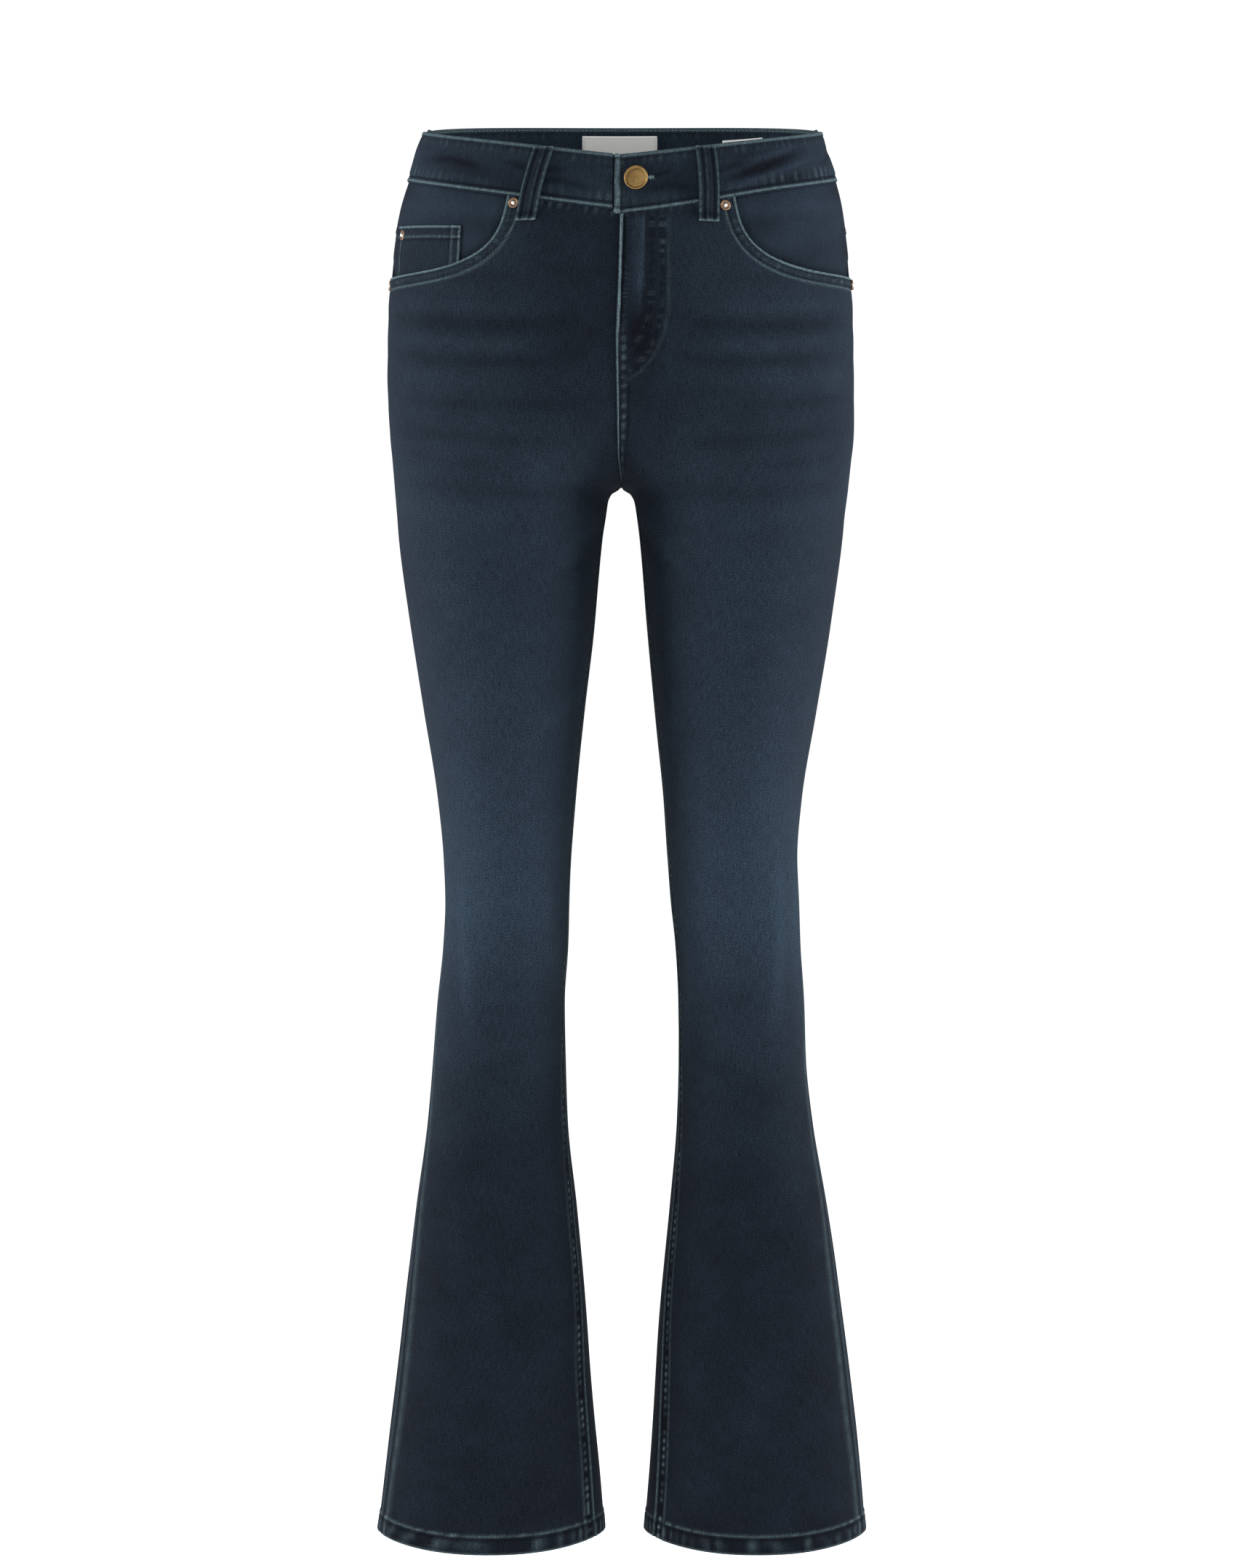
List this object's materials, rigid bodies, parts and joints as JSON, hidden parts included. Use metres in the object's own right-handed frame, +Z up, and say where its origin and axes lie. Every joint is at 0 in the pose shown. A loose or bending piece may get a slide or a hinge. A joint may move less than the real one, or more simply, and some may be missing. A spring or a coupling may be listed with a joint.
{
  "type": "bootcut jeans",
  "caption": "Low-rise bootcut denim trousers with a lapped fly, riveted front pockets and belt loops; open at the waist and hems to take the wearer's hips and legs.",
  "frame": {"origin": "the middle of the waist, level with the waistband's top edge at the hips, where the garment is held up", "axes": "+Z up to the waist, -Y to the front, +X to the wearer's left"},
  "size_m": [0.3774, 0.2407, 1.1115],
  "materials": {
    "denim": "dark washed indigo twill, matt, faded on the thighs",
    "denim_inner": "dark indigo twill, matt, less worn",
    "button_brass": "aged satin",
    "rivet_copper": "aged copper-toned satin",
    "label_cloth": "plain white woven tape"
  },
  "bodies": {
    "root": {"front_left": "denim", "front_right": "denim", "back_left": "denim", "back_right": "denim", "yoke_left": "denim", "yoke_right": "denim", "waistband": "denim", "coin_pocket": "denim", "back_pocket_left": "denim", "back_pocket_right": "denim", "belt_loop_front_right": "denim", "belt_loop_front_left": "denim", "belt_loop_side_right": "denim", "belt_loop_side_left": "denim", "belt_loop_back": "denim", "pocket_facing_left": "denim_inner", "pocket_facing_right": "denim_inner", "hem_left": "denim_inner", "hem_right": "denim_inner", "fly_underlap": "denim_inner", "waist_button": "button_brass", "rivet_inner_right": "rivet_copper", "rivet_inner_left": "rivet_copper", "rivet_outer_right": "rivet_copper", "rivet_outer_left": "rivet_copper", "rivet_coin": "rivet_copper", "label_back": "label_cloth", "label_side": "label_cloth"}
  },
  "joints": []
}
